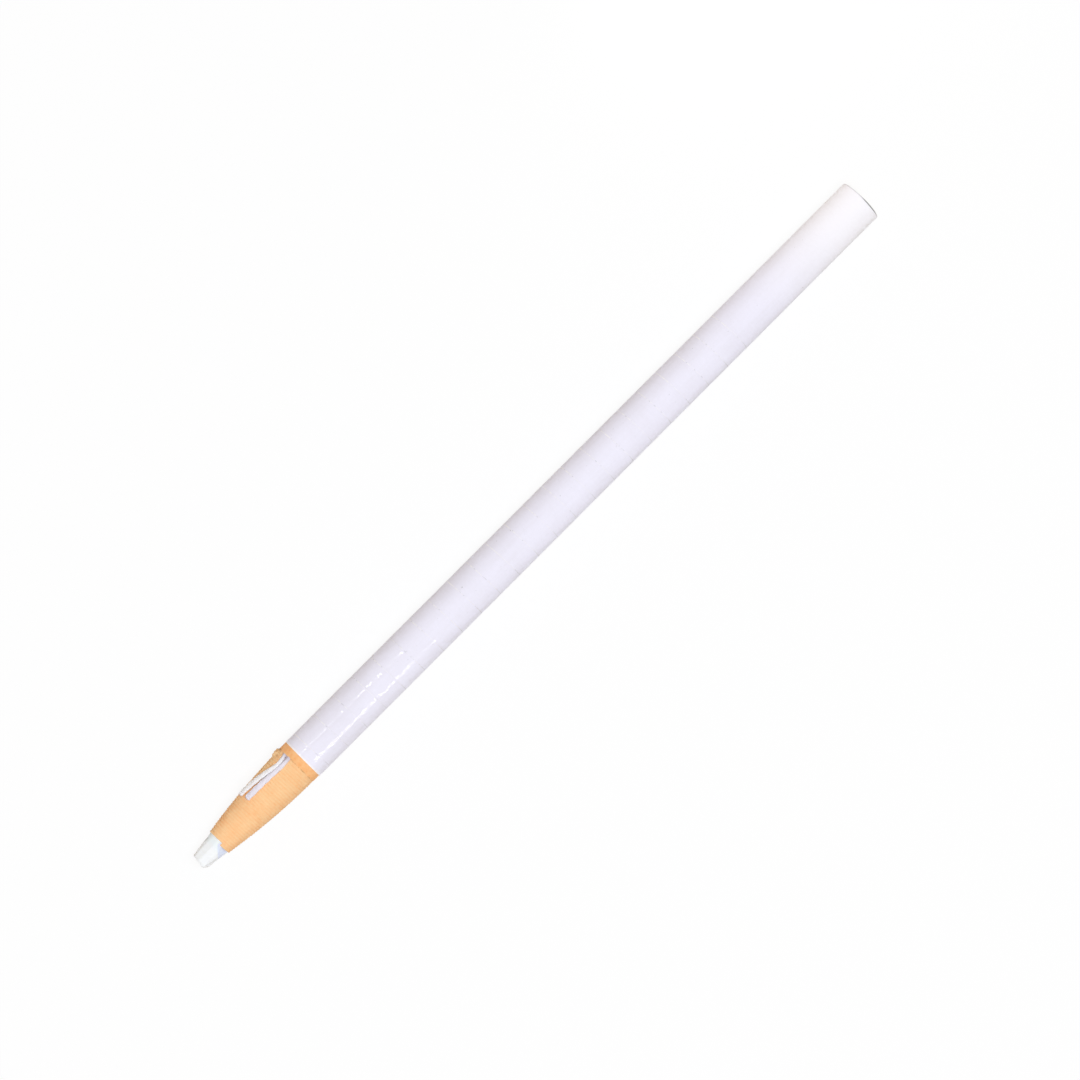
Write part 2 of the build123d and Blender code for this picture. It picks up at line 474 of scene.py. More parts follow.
def spline_points(route):
    """Points along the NURBS curve that has the route's points as its control points."""
    curve = bpy.data.curves.new("route", "CURVE")
    curve.dimensions = "3D"
    spline = curve.splines.new("NURBS")
    spline.points.add(len(route) - 1)
    spline.points.foreach_set("co", np.column_stack([route, np.ones(len(route))]).ravel())
    spline.order_u = 3
    spline.use_endpoint_u = True
    spline.resolution_u = ROUTE_STEPS
    holder = bpy.data.objects.new("route", curve)
    mesh = bpy.data.meshes.new_from_object(holder)
    points = np.empty(3 * len(mesh.vertices), np.float32)
    mesh.vertices.foreach_get("co", points)
    bpy.data.meshes.remove(mesh)
    bpy.data.objects.remove(holder)
    bpy.data.curves.remove(curve)
    return points.reshape(-1, 3).astype(float)


class NoseShape:
    """The nose's outline: where its turns lie, and where the string lies on it."""

    def __init__(self, sizes):
        self.turns = sizes.turns
        self.pitch = sizes.taper / MM / sizes.turns
        self.mouth = PAPER_START + sizes.taper / MM
        self.bore = sizes.bore / MM
        self.front_r = self.bore + sizes.front_wall / MM
        self.end_r = WINDING_R - sizes.collar_step / MM
        self.crown = sizes.turn_crown / MM
        self.lip = sizes.lip / MM
        self.strand_r = sizes.strand / MM
        self.routes = {name: self.strand_route(points) for name, points in STRAND_ROUTES.items()}
        self.ragged = wobble(8, (3, 0.04), (7, 0.04), (17, 0.03), (31, 0.02))

    def radius(self, from_tip):
        """A parabola, level at the collar and steepest at the tip."""
        share = np.clip((self.mouth - from_tip) / (self.mouth - PAPER_START - self.pitch), 0, 1)
        return self.end_r - (self.end_r - self.front_r) * share**2

    def strand_route(self, points):
        """Points along a strand's centre line, from its root in the slot to its free end."""
        from_tip, height, angle = np.array(points).T
        height[SLOT_POINTS:] += self.radius(from_tip[SLOT_POINTS:])
        return spline_points(polar(from_tip, height, np.radians(angle)))

    def strand_section(self, name, from_tip):
        """Half the width and half the height of a strand, which spreads towards its free end."""
        (root_w, root_h), (end_w, end_h) = STRAND_SPREAD[name]
        loose = ease(from_tip, *STRAND_LOOSENS)
        half_w = self.strand_r * (root_w + (end_w - root_w) * loose)
        half_h = self.strand_r * (root_h + (end_h - root_h) * loose)
        return half_w, half_h

    def grooved(self, from_tip, radius, angle):
        """Lowers a surface to the bottom of the groove that each strand lies in.

        The paper hugs the near strand's lower side. Towards the mouth a gap opens between the strands, and a
        narrower one beyond the far strand.
        """
        opening = ease(from_tip, *GAP_OPENS)
        between = GAP_BETWEEN * opening
        beyond = GAP_BEYOND * opening + MOUTH_BEYOND * ease(from_tip, *MOUTH_OPENS)
        room = {"near": (-HUG, between), "far": (between, beyond)}
        for name, route in self.routes.items():
            place = route[np.argsort(route[:, 0])]
            y = np.interp(from_tip + TIP_X, place[:, 0], place[:, 1])
            up = np.interp(from_tip + TIP_X, place[:, 0], place[:, 2]) - AXIS_Z
            half_w, half_h = self.strand_section(name, from_tip)
            turn = turn_between(angle, np.arctan2(y, up))
            across = radius * np.sin(turn)
            drop = half_h * np.sqrt(np.clip(1 - (across / half_w) ** 2, GROOVE_LEAST**2, None))
            floor = np.hypot(y, up) * np.cos(turn) - drop
            low, high = (half_w + side for side in room[name])
            under = (across > -low) & (across < high) & (np.cos(turn) > 0)
            inside = under & (from_tip + TIP_X > place[0, 0] - GROOVE_AHEAD)
            radius = np.where(inside, np.minimum(radius, floor), radius)
        return radius

    def lipped(self, from_tip, radius, angle):
        """Raises the torn lip beside the string, and a low fold that grows towards it.

        The lip is a flat-topped bell along and a bell round, and two sines tear its crest.
        """
        along = np.exp(-(((from_tip - self.mouth + LIP_AHEAD) / LIP_HALF_LENGTH) ** 6))
        turn = turn_between(angle, LIP_ANGLE)
        torn = 0.85 + 0.15 * np.sin(23 * angle + 2.6 * from_tip) + 0.12 * np.sin(9 * from_tip)
        fold = FOLD_HEIGHT * ease(from_tip, FOLD_START, self.mouth) * np.exp(-((turn / FOLD_ROUND) ** 2))
        return radius + self.lip * along * np.exp(-((turn / LIP_ROUND) ** 2)) * torn + fold


# Painted light: a paler patch over the paper's fold beside the string. Its middle, and where it ends and is
# at full strength to either side.
PAINTED_LIGHT_ANGLE = math.radians(70.0)
PAINTED_LIGHT_ROUND = (math.radians(24.0), math.radians(6.0))


def kraft_finish(mouth, colours):
    """Wound kraft paper: fibres along the turn, darker turn edges, painted light beside the string, and
    painted shade in the slot and along the collar's front edge.

    Places along the nose are distances behind its mouth, where the taper meets the collar.
    """
    f = Finish("kraft_nose")
    from_tip, _, angle, _ = f.round_axis()
    behind = from_tip - mouth
    across = f.value("ShaderNodeSeparateXYZ", None, {0: f.lay()}, output=1)
    edge = across.step(0.22, 0.02) + across.step(0.8, 1.0) * 0.5
    fibres = f.noise((9.0, 1.6, 1.6), 4.0, 0.6)
    blotch = f.noise((0.45, 0.45, 0.45), 2.0, 0.5)
    worn = f.noise((0.9, 0.35, 0.35), 2.0, 0.5).step(0.35, 0.65)
    # Painted light beside the string: a paler patch over the fold there. Stain spots also lie in it.
    beside = abs(angle - PAINTED_LIGHT_ANGLE).step(*PAINTED_LIGHT_ROUND)
    painted_light_beside_string = beside * behind.step(-8.3, -3.3) * behind.step(0.2, -0.2)
    spots = f.noise((1.8, 1.8, 1.8), 2.0, 0.6).step(0.52, 0.66) * painted_light_beside_string * 0.4
    on_lip = abs(angle - LIP_ANGLE).step(0.35, 0.15)
    torn = on_lip * behind.step(-0.7, -0.2) * behind.step(0.2, 0.0) * 0.5
    # Painted shade on the paper in the slot beside the strands, up to the mouth.
    by_slot = abs(angle - SLOT_ANGLE).step(0.22, 0.12)
    in_slot = by_slot * behind.step(-1.7, -0.9) * behind.step(0.1, -0.1)
    collar = behind.step(-0.1, 0.15)
    # Painted shade: a broken dark line along the collar's ragged front edge.
    brow = abs(behind).step(0.16, 0.04) * f.noise((0.8, 1.5, 1.5), 2.0, 0.6).step(0.45, 0.62)
    stained_and_shaded = spots.math("MAXIMUM", torn).math("MAXIMUM", brow * 0.4)
    mottle = f.noise((1.6, 1.6, 1.6), 3.0, 0.6) - 0.5
    deep = edge * (0.1 + worn * 0.2) + (fibres - 0.5) * 0.5 + (blotch - 0.5) * 0.45
    deep = deep + mottle * (0.35 + collar * 1.3)
    # Painted light beside the string.
    colour = f.mix(painted_light_beside_string * 0.6, colours.kraft, colours.kraft_painted_light)
    colour = f.mix(collar * 0.75, colour, colours.kraft_collar)
    colour = f.mix(deep.step(-0.45, 1.0), colour, colours.kraft_shade)
    colour = f.mix(stained_and_shaded, colour, colours.kraft_stain_and_shade)
    # Painted shade in the slot.
    colour = f.mix(in_slot * 0.75, colour, colours.string_shade)
    height = fibres * 0.35 - edge * 0.5 + f.noise((3.5, 3.5, 3.5)) * 0.3
    return f.shade(
        Base_Color=colour,
        Roughness=0.74 + (fibres - 0.5) * 0.2,
        Normal=f.bump(height, 0.03),
        Specular_IOR_Level=0.12,
    )


# Nose winding: where the helix starts, and the stretch of each turn, in degrees from there, that lies by the
# string and has close columns.
HELIX_START = math.radians(-11.0)
BY_STRING = (249, 343)
PLAIN_COLUMNS = 62
STRING_COLUMNS = 120
LAST_COLUMNS = 5
# A turn's profile: shares of its width, and how many crowns it stands above its level there. A turn narrower
# than CROWN_ROOM of the pitch has a lower crown.
TURN_SHARES = np.array([0.0, 0.03, 0.16, 0.55, 1.0])[:, None]
TURN_LIFTS = np.array([0.0, 0.75, 1.0, 0.35, -1.0])[:, None]
CROWN_ROOM = 0.3
# Turn, in radians, over which the strip's end comes back to the level of the turn before.
LAST_BEND = 0.8
# Rows of the collar behind its ragged edge, and how far each lies under the winding's surface.
BROW_ROWS = np.array([0.0, 0.05, 0.3, 0.7, 1.2])[:, None]
BROW_DROPS = np.array([0.03, 0.0, 0.0, 0.0, 0.0])[:, None]


def make_nose(sizes, colours):
    """The nose as one strip wound in a helix: a step profile carried round the axis, one pitch a turn.

    Across the strip the profile climbs the strip's own edge and then falls back; its rear edge is the next
    turn's foot. The last turn is stretched or squeezed to end against the ragged collar, where its crown runs
    out, and it comes back to the level it started from. The collar's ring, rear face and bore close the
    shape.
    """
    nose = NoseShape(sizes)
    plain = np.linspace(0, BY_STRING[0], PLAIN_COLUMNS, endpoint=False)
    by_string = np.linspace(*BY_STRING, STRING_COLUMNS, endpoint=False)
    rest = np.linspace(BY_STRING[1], 360, LAST_COLUMNS, endpoint=False)
    one_turn = np.radians(np.concatenate([plain, by_string, rest]))
    last = FULL_TURN * nose.turns
    whole = np.concatenate([one_turn + FULL_TURN * k for k in range(nose.turns)] + [[last]])
    uneven = wobble(5, (0.37, 0.008), (1.7, 0.008), (5.3, 0.006), (13.1, 0.004))

    def free_level(turned):
        return nose.radius(PAPER_START + nose.pitch * (turned / FULL_TURN + 0.5)) + uneven(turned)

    def level(turned):
        rise = free_level(last) - free_level(last - FULL_TURN)
        return free_level(turned) - rise * ease(turned, last - LAST_BEND, last)

    def shaped(from_tip, radius, angle):
        return nose.grooved(from_tip, nose.lipped(from_tip, radius, angle), angle)

    angles = HELIX_START - whole
    front = PAPER_START + nose.pitch * whole / FULL_TURN
    limit = nose.mouth + nose.ragged(angles)
    room = np.clip(limit - front, 0, None)
    before_last = whole < last - FULL_TURN - TINY
    width = np.where(before_last, np.minimum(room, nose.pitch), room)
    along = np.minimum(front, limit) + width * TURN_SHARES
    crowned = np.clip(width / (CROWN_ROOM * nose.pitch), 0, 1)
    radii = level(whole) + nose.crown * ((1 + TURN_LIFTS) * crowned - 1)
    radii[0] = np.where(whole < FULL_TURN, nose.bore, level(whole - FULL_TURN) - nose.crown)
    at_bore = (TURN_SHARES == 0) & (whole < FULL_TURN)
    strip = polar(along, np.where(at_bore, radii, shaped(along, radii, angles)), angles)
    strip_uv = np.stack(np.broadcast_arrays(whole / FULL_TURN, TURN_SHARES), axis=-1)

    ring = np.append(one_turn, FULL_TURN)
    ring_angle = HELIX_START - ring
    edge = nose.mouth + nose.ragged(ring_angle)
    cut = FIRST_SCORE - sizes.score_gap / MM / 2
    skew = np.sin(ring_angle) * math.tan(sizes.score_skew)
    foot = shaped(edge, level(FULL_TURN * (nose.turns - 1) + ring) - nose.crown, ring_angle)
    brow = edge + BROW_ROWS
    brow_r = nose.lipped(brow, WINDING_R - BROW_DROPS, ring_angle)
    collar = np.concatenate(
        [
            polar(edge, foot, ring_angle)[None],
            polar(brow, brow_r, ring_angle),
            polar(cut - WINDING_R * skew, WINDING_R, ring_angle)[None],
            polar(cut - nose.bore * skew, nose.bore, ring_angle)[None],
            polar(PAPER_START + nose.pitch, nose.bore, ring_angle)[None],
            polar(PAPER_START + nose.pitch * ring / FULL_TURN, nose.bore, ring_angle)[None],
        ]
    )
    inner_corner = polar(PAPER_START + nose.pitch, nose.bore, HELIX_START)
    end_wall = np.concatenate([strip[:, 0], inner_corner[None]])
    overlap = np.stack([strip[0, one_turn.size - 1], inner_corner, strip[0, one_turn.size]])
    patches = [
        (strip, grid_faces(len(strip), whole.size)),
        (collar, grid_faces(len(collar), ring.size)),
        (end_wall, [list(range(len(end_wall)))]),
        (overlap, [[0, 1, 2]]),
    ]
    plain_uv = np.full((collar.shape[0] * collar.shape[1] + len(end_wall) + len(overlap), 2), 0.5)
    uv = np.concatenate([strip_uv.reshape(-1, 2), plain_uv])
    material = kraft_finish(nose.mouth, colours)
    piece = make_piece("nose_paper", patches, material, "nose_winding", uv, sharp=30.0)
    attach(piece, "nose")


def wrapper_finish(sizes, colours):
    """Coated white paper: fibre mottle, smudges, white cut edges along the scores, painted light whitening it
    towards the butt, and painted shade round the butt's rim.
    """
    f = Finish("white_wrapper")
    from_tip, _, angle, y = f.round_axis()
    place = (from_tip - FIRST_SCORE + y * math.tan(sizes.score_skew)) / BAND_PITCH
    scored = place.step(-0.05, -0.04) * place.step(len(BANDS) + 0.05, len(BANDS) + 0.04)
    to_score = (0.5 - abs(place.fract() - 0.5)) * BAND_PITCH
    broken = f.noise((0.5, 1.6, 1.6), 2.0, 0.6)
    # The score lines are paler towards +Y and darker towards -Y.
    paler_side = y.step(-0.2, 2.4)
    darker_side = y.step(-2.4, -3.6)
    bared = 0.05 + broken.step(0.36, 0.62) * (0.27 + paler_side * 0.58)
    cut = to_score.step(0.13, 0.05) * scored * bared
    darkened = broken.step(0.42, 0.34) * 0.22 + darker_side * 0.16
    nick = to_score.step(0.1, 0.03) * scored * darkened
    front_edge = from_tip.step(WRAPPER_START + 0.36, WRAPPER_START + 0.22)
    fibres = f.noise((2.2, 5.0, 5.0), 4.0, 0.6)
    blotch = f.noise((0.12, 0.2, 0.2), 3.0, 0.6)
    streak = f.noise((0.05, 1.1, 1.1), 3.0, 0.6)
    soiled = (blotch - 0.5) * 0.7 + (streak - 0.5) * 0.5 + (fibres - 0.5) * 0.35
    specks = f.noise((2.3, 2.3, 2.3), 1.0, 0.5).step(0.76, 0.83)
    # Painted light: the wrapper whitens over its last 30 mm towards the butt.
    rear_painted_light = from_tip.step(LENGTH - 30.0, LENGTH - 1.0)
    colour = f.mix(soiled.step(-0.3, 0.9), colours.wrapper, colours.smudge)
    colour = f.mix(rear_painted_light * 0.85, colour, colours.wrapper_edge_and_rear_light)
    colour = f.mix(cut.math("MAXIMUM", front_edge), colour, colours.wrapper_edge_and_rear_light)
    # Painted shade: a dark line round the butt's rim, darkest a little towards -Y from the top.
    darkest = abs(angle + 0.5).step(0.75, 0.2)
    rim = from_tip.step(LENGTH - 0.26, LENGTH - 0.08) * (0.3 + darkest * 0.7)
    colour = f.mix((specks * 0.35).math("MAXIMUM", nick).math("MAXIMUM", rim), colour, colours.grime_and_shade)
    height = fibres * 0.5 + f.noise((0.8, 0.8, 0.8)) * 0.5
    return f.shade(
        Base_Color=colour,
        Roughness=0.46 + (fibres - 0.5) * 0.2 + blotch * 0.08,
        Coat_Weight=0.02 + f.noise((2.0, 1.0, 1.0), 1.0, 0.5).step(0.47, 0.55) * 0.28,
        Coat_Roughness=0.06,
        Normal=f.bump(height, 0.012),
        Specular_IOR_Level=0.15,
    )


# Wrapper rings: columns round the axis, rows beside a cut end, and the reach and power of the press there.
RING_COLUMNS = 160
END_ROWS = np.array([0.0, 0.02, 0.06, 0.12, 0.2, 0.32])
MIDDLE_ROWS = 5
PRESS_REACH = 0.2
PRESS_POWER = 2.5
# Least and most by which a ring crowns and cones, and the lap underneath where its sheet overlaps itself.
RING_CROWN = (-0.012, 0.006)
RING_CONE = (-0.008, 0.008)
LAP_ANGLE = math.radians(166.0)
LAP_ROUND = math.radians(14.0)
LAP_HEIGHT = 0.035
# Seeds of the rings' crowns and cones, and how much deeper than a score the butt's rim is pressed in.
NOSE_SEED = 1
BUTT_SEED = 2
BAND_SEED = 20
RIM_PRESS = 3


def make_wrapper(node, body, start, end, skews, rolls, seed, material):
    """A ring of thin paper: an outer skin pressed in at its cut ends, and an inner skin under it.

    The outer radius is the barrel's, less a press of the given depth at each end that fades as a power of the
    distance from it, plus a slight crown and cone of its own and a lap underneath.
    """
    angle = np.radians(np.linspace(0, 360, RING_COLUMNS, endpoint=False))
    chance = np.random.default_rng(seed)
    crown = chance.uniform(*RING_CROWN)
    cone = chance.uniform(*RING_CONE)
    length = end - start
    middle = np.linspace(END_ROWS[-1], length - END_ROWS[-1], MIDDLE_ROWS + 2)[1:-1]
    inset = np.concatenate([END_ROWS, middle, length - END_ROWS[::-1]])
    share = inset / length
    front_press = rolls[0] * np.clip(1 - inset / PRESS_REACH, 0, 1) ** PRESS_POWER
    rear_press = rolls[1] * np.clip(1 - (length - inset) / PRESS_REACH, 0, 1) ** PRESS_POWER
    skin = BARREL_R - front_press - rear_press + crown * (4 * share * (1 - share) - 1) + cone * (share - 0.5)
    lap_turn = turn_between(angle, LAP_ANGLE)
    lap = LAP_HEIGHT * np.clip(1 + lap_turn / LAP_ROUND, 0, 1) * (lap_turn < 0)
    skew = skews[0] + (skews[1] - skews[0]) * share
    out_x = start + inset[:, None] - BARREL_R * np.sin(angle) * np.tan(skew)[:, None]
    outer = polar(out_x, skin[:, None] + lap, angle)
    inner = polar(np.stack([out_x[-1], out_x[0]]), WINDING_R, angle)
    loop = np.concatenate([outer, inner])
    patches = [(loop, grid_faces(len(loop), angle.size, close_rows=True, close_cols=True))]
    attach(make_piece(f"{node}_skin", patches, material, node, sharp=40.0), body)


def wax_finish(colours):
    """Pigmented wax: dull white, bluish where covered, painted shade on the cut facet beside the paper,
    darker on its +Y side near the paper, with fine drag lines and a few dark specks.
    """
    f = Finish("white_wax")
    from_tip, _, angle, y = f.round_axis()
    cloud = f.noise((0.7, 0.7, 0.7), 3.0, 0.55)
    drag = f.noise((1.2, 6.0, 6.0), 4.0, 0.65)
    covered = from_tip.step(3.2, 4.8) * from_tip.step(6.8, 5.2) * 0.75
    # Painted shade on the cut facet at the -Y side beside the paper.
    facet = abs(angle + 0.8).step(0.85, 0.7) * from_tip.step(5.7, 5.0)
    cut = (from_tip - y * 0.96 - 4.79).step(-0.1, 0.2) * facet * 0.7
    tone = (cloud - 0.52) * 0.5 + (drag - 0.52) * 0.35 + covered
    colour = f.mix(tone.step(-0.25, 1.0), colours.wax, colours.wax_shade)
    colour = f.mix(cut, colour, colours.wax_painted_shade)
    specks = f.noise((4.2, 4.2, 4.2), 1.0, 0.5).step(0.65, 0.76) * from_tip.step(0.9, 0.1) * 0.5
    # Darker on the tip's +Y side near the paper.
    darker_plus_y_band = abs(from_tip - 3.9).step(0.8, 0.1) * y.step(1.6, 2.0) * 0.2
    colour = f.mix(specks.math("MAXIMUM", darker_plus_y_band), colour, colours.grime_and_shade)
    return f.shade(
        Base_Color=colour,
        Roughness=0.42 + (drag - 0.5) * 0.3,
        Normal=f.bump(drag * 0.6 + cloud * 0.4, 0.05),
        Subsurface_Weight=0.08,
        Subsurface_Radius=(0.0006, 0.0006, 0.0007),
        Subsurface_Scale=1.0,
    )


# Flats cut round the wax tip: which way each faces in degrees, its distance from the axis at the tip, and how
# much that grows with each millimetre towards the paper.
TIP_FLATS = (
    (80.0, 1.5, 0.14),
    (26.0, 1.42, 0.15),
    (-10.0, 1.37, 0.155),
    (-90.0, 1.06, 0.9),
    (-72.0, 1.42, 0.16),
    (-148.0, 1.44, 0.16),
    (132.0, 1.4, 0.17),
    (-46.0, 2.66, -0.15),
)
# Radius of the blunt end and length of the cone.
TIP_R = 1.6
CONE = 5.6
# Distances from the tip between which the flats run out into the round rod.
FLATS_END = (5.1, 6.0)
ROD_COLUMNS = 192
# The blunt end: its worn rim, where its middle lies, and which way and how far up the tip it leans back.
RIM_WEAR = 0.3
NIB_MIDDLE = 0.2
NIB_FACING = math.radians(75.0)
LEAN_REACH = 2.5


def make_core(colours):
    """The wax rod: its radius is the least of a cone and several flats.

    Each flat is a plane whose distance from the axis changes evenly along the tip, so it meets the cone in a
    hyperbola. The blunt end leans back towards +Y, and seeded sines chip its rim.
    """
    angle = np.radians(np.linspace(0, 360, ROD_COLUMNS, endpoint=False))
    tip_rows = np.linspace(0.42, FLATS_END[1], 40)
    rows = np.concatenate([np.linspace(0.0, RIM_WEAR, 6), tip_rows, [12.0, 60.0, LENGTH]])
    radius = np.minimum(TIP_R + (CORE_R - TIP_R) * rows / CONE, CORE_R)[:, None] * np.ones_like(angle)
    for facing, at_tip, climb in TIP_FLATS:
        turn = np.cos(angle - math.radians(facing))
        plane = np.clip(at_tip + climb * rows, 0, None)[:, None] / np.clip(turn, TINY, None)
        radius = np.where(turn > 0.05, np.minimum(radius, plane), radius)
    radius += (CORE_R - radius) * ease(rows, *FLATS_END)[:, None]
    chips = wobble(11, (5, 0.03), (11, 0.03), (23, 0.02), (41, 0.012))
    worn = np.clip(1 - rows / RIM_WEAR, 0, 1)[:, None]
    radius = radius * (1 - 0.07 * worn**2) + chips(angle) * worn
    lean = NIB_MIDDLE + NIB_MIDDLE * np.cos(angle - NIB_FACING)
    from_tip = rows[:, None] + lean * np.clip(1 - rows / LEAN_REACH, 0, 1)[:, None]
    inner = np.array([0.0, 0.3, 0.6, 0.85])[:, None]
    pits = wobble(12, (3, 0.02), (8, 0.02))
    nib_x = NIB_MIDDLE + (from_tip[0] - NIB_MIDDLE) * inner + pits(angle) * inner * (1 - inner)
    nib = polar(nib_x, radius[0] * inner, angle)
    heel = polar(np.full((3, 1), LENGTH), CORE_R * np.array([[0.6], [0.3], [0.0]]), angle)
    loop = np.concatenate([nib, polar(from_tip, radius, angle), heel])
    patches = [(loop, grid_faces(len(loop), angle.size, close_cols=True))]
    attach(make_piece("wax_rod", patches, wax_finish(colours), "wax_core", sharp=20.0), "core")


def string_finish(name, plain, shade):
    """Cotton yarn: fibres that follow its lay, with painted shade between them and near its root at the slot.
    """
    f = Finish(f"{name}_cotton")
    fibre = f.noise((1.1, 16.0, 1.0), 4.0, 0.65, f.lay())
    soil = f.noise((0.6, 0.3, 1.0), 2.0, 0.5, f.lay())
    along = f.value("ShaderNodeSeparateXYZ", None, {0: f.lay()})
    # Painted shade towards the strand's root, where it leaves the slot.
    tone = (fibre - 0.52) * 1.3 + (soil - 0.52) * 0.5 + along.step(2.4, 0.7) * 0.7
    colour = f.mix(tone.step(-0.12, 0.9), plain, shade)
    return f.shade(
        Base_Color=colour,
        Roughness=0.88 + (fibre - 0.5) * 0.1,
        Normal=f.bump(fibre, 0.09),
        Sheen_Weight=0.2,
    )


def side_frames(path):
    """Unit arrays along a path: ahead, sideways, and away from the barrel's axis."""
    ahead = np.gradient(path, axis=0)
    ahead /= np.linalg.norm(ahead, axis=1, keepdims=True)
    outward = path * [0.0, 1.0, 1.0] - [0.0, 0.0, AXIS_Z]
    side = np.cross(ahead, outward)
    side /= np.linalg.norm(side, axis=1, keepdims=True)
    return ahead, side, np.cross(side, ahead)


# Rings that round off a tube's end: shares of its end ring, and how far out they lie in half widths.
CAP_SHARES = np.array([0.0, 0.5, 0.85])[:, None, None]
CAP_BULGE = np.array([0.35, 0.28, 0.14])[:, None, None]
# Strands: the depth of the lobes and the columns of a free tail and of a hidden run.
TAIL_LOBE = 0.055
TAIL_COLUMNS = 36
RUN_LOBE = 0.1
RUN_COLUMNS = 24
STRAND_SHARP = 70.0
# Loose hairs at a strand's free end.
HAIRS = 34
HAIR_R = 0.024
HAIR_SEED = 40
# A hidden run: how far it starts behind the hinge and stops short of the butt's end, its rings, and its
# thickness as a share of a strand's.
RUN_BEHIND = 1.75
RUN_SHORT = 0.3
RUN_RINGS = 340
RUN_SHARE = 0.94


def closed_tube(path, side_reach, up_reach):
    """A tube along a path with rounded ends: rings of sideways and outward reaches on the path's frames."""
    ahead, side, up = side_frames(path)
    tube = path[:, None] + side_reach[..., None] * side[:, None] + up_reach[..., None] * up[:, None]
    first_out = ahead[0] * side_reach[0].max() * CAP_BULGE
    last_out = ahead[-1] * side_reach[-1].max() * CAP_BULGE[::-1]
    first = path[0] + (tube[0] - path[0]) * CAP_SHARES - first_out
    last = path[-1] + (tube[-1] - path[-1]) * CAP_SHARES[::-1] + last_out
    rings = np.concatenate([first, tube, last])
    return rings, grid_faces(len(rings), side_reach.shape[1], close_cols=True)


def twisted_strand(path, lay, half_w, half_h, lobe, columns):
    """A three-ply strand: a tube whose oval section is scaled by 1 + lobe (cos 3 (angle - twist) - 1/2).

    The twist grows by one turn in each lay, so the three lobes wind round the path as plies do.
    """
    run = np.append(0, np.cumsum(np.linalg.norm(np.diff(path, axis=0), axis=1)))[:, None]
    angle = np.linspace(0, FULL_TURN, columns, endpoint=False)
    twist = FULL_TURN * run / lay
    reach = 1 + lobe * (np.cos(3 * (angle - twist)) - 0.5)
    side_reach = reach * half_w[:, None] * np.cos(angle)
    up_reach = reach * half_h[:, None] * np.sin(angle)
    patch = closed_tube(path, side_reach, up_reach)
    caps = len(CAP_SHARES)
    along = np.concatenate([run[:1]] * caps + [run] + [run[-1:]] * caps)
    turned = np.concatenate([twist[:1]] * caps + [twist] + [twist[-1:]] * caps)
    lay_map = np.stack(np.broadcast_arrays(along, np.abs(((angle - turned) / np.pi) % 2 - 1)), axis=-1)
    return patch, lay_map.reshape(-1, 2)


def loose_fibres(path, half_w, half_h, seed):
    """Fine hairs at a strand's free end: short curved tubes that leave it at seeded angles."""
    chance = np.random.default_rng(seed)
    ahead, side, up = (part[-1] for part in side_frames(path))
    t = np.linspace(0, 1, 9)[:, None]
    around = np.linspace(0, FULL_TURN, 6, endpoint=False)
    patches, maps = [], []
    for _ in range(HAIRS):
        turn = chance.uniform(0, FULL_TURN)
        reach = chance.uniform(0.3, 0.95)
        leave = half_w * np.cos(turn) * side + half_h * np.sin(turn) * up
        root = path[-5] + chance.uniform(0.3, 0.95) * leave
        middle = root + ahead * reach * 0.6 + leave * chance.uniform(-0.1, 0.15)
        end = middle + ahead * reach * 0.5 + leave * chance.uniform(-0.6, 0.5)
        hair = (1 - t) ** 2 * root + 2 * t * (1 - t) * middle + t**2 * end
        thin = HAIR_R * (1 - 0.6 * t)
        patch = closed_tube(hair, thin * np.cos(around), thin * np.sin(around))
        patches.append(patch)
        maps.append(np.full((patch[0].size // 3, 2), 0.3))
    return patches, np.concatenate(maps)


def make_tail(name, sizes, material, seed):
    """A strand's free tail: it spreads and loosens towards its end, and bends at the slot's mouth."""
    nose = NoseShape(sizes)
    path = nose.routes[name]
    half_w, half_h = nose.strand_section(name, path[:, 0] - TIP_X)
    lay = sizes.strand_lay / MM
    strand, strand_map = twisted_strand(path, lay, half_w, half_h, TAIL_LOBE, TAIL_COLUMNS)
    hairs, hair_map = loose_fibres(path, half_w[-1], half_h[-1], seed)
    uv = np.concatenate([strand_map, hair_map])
    node = f"{name}_strand_tail"
    piece = make_piece(f"{name}_string_tail", [strand] + hairs, material, node, uv, STRAND_SHARP)
    pivot = Vector(((TIP_X + PIVOT) * MM, SLOT_Y * MM, (AXIS_Z + SLOT_UP) * MM))
    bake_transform(piece)


def make_run(name, sizes, material):
    """A strand's hidden run: straight through the slot, from under the collar to the cut butt."""
    low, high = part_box(f"{name}_strand_run")
    x = np.linspace(TIP_X + PIVOT + RUN_BEHIND, TIP_X + LENGTH - RUN_SHORT, RUN_RINGS)
    y, z = (low.y + high.y) / MM / 2, (low.z + high.z) / MM / 2
    path = np.column_stack([x, np.full_like(x, y), np.full_like(x, z)])
    half = np.full_like(x, RUN_SHARE * sizes.strand / MM)
    strand, uv = twisted_strand(path, sizes.strand_lay / MM, half, half, RUN_LOBE, RUN_COLUMNS)
    node = f"{name}_strand_run"
    piece = make_piece(f"{name}_string_run", [strand], material, node, uv, STRAND_SHARP)
    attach(piece, "core")


LAYER_THICKNESS = 0.095


def winding_finish(colours):
    """Kraft paper seen on its cut ends: spiral layer lines by radius and angle."""
    f = Finish("kraft_layers")
    _, radius, angle, _ = f.round_axis()
    layer = ((radius - CORE_R) / LAYER_THICKNESS + angle / FULL_TURN).fract()
    line = abs(layer - 0.5).step(0.32, 0.5)
    fibres = f.noise((3.0, 3.0, 3.0), 3.0, 0.6)
    deep = line * 0.6 + (fibres - 0.5) * 0.6
    colour = f.mix(deep.step(0.0, 1.0), colours.kraft, colours.kraft_shade)
    return f.shade(
        Base_Color=colour,
        Roughness=0.78 + (fibres - 0.5) * 0.2,
        Normal=f.bump(fibres * 0.4 - line * 0.6, 0.03),
        Specular_IOR_Level=0.12,
    )


